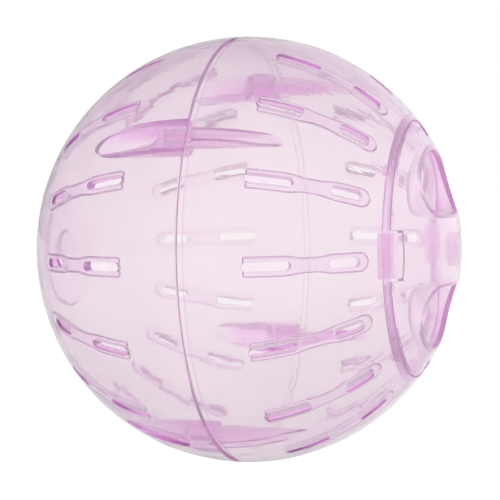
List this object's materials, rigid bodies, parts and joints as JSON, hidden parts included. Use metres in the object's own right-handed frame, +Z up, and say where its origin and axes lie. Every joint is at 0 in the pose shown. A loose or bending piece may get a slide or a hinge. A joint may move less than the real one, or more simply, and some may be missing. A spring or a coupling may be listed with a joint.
{
  "type": "hamster ball",
  "caption": "Clear pink hollow exercise ball for a small pet: push-together half shells with forked vent slots and a round door with finger pockets that pulls off.",
  "frame": {"origin": "centre of the ball", "axes": "+X from the ball's centre through the middle of the door, -X through the blank pole, +Z up with the finger pockets above and below the axis, -Y towards the viewer"},
  "size_m": [0.14, 0.14, 0.14],
  "materials": {
    "shell_plastic": "clear pink-tinted injection-moulded polystyrene, polished inside and out",
    "door_plastic": "clear pink-tinted injection-moulded polystyrene, polished inside and out"
  },
  "bodies": {
    "door_half": {"door_half": "shell_plastic"},
    "blank_half": {"blank_half": "shell_plastic"},
    "door": {"door": "door_plastic"}
  },
  "joints": [
    {"name": "half_pull_apart", "type": "slide", "parent": "door_half", "child": "blank_half", "axis": [-1, 0, 0], "range_m": [0, 0.09]},
    {"name": "door_pull", "type": "slide", "parent": "door_half", "child": "door", "axis": [1, 0, 0], "range_m": [0, 0.08]}
  ]
}
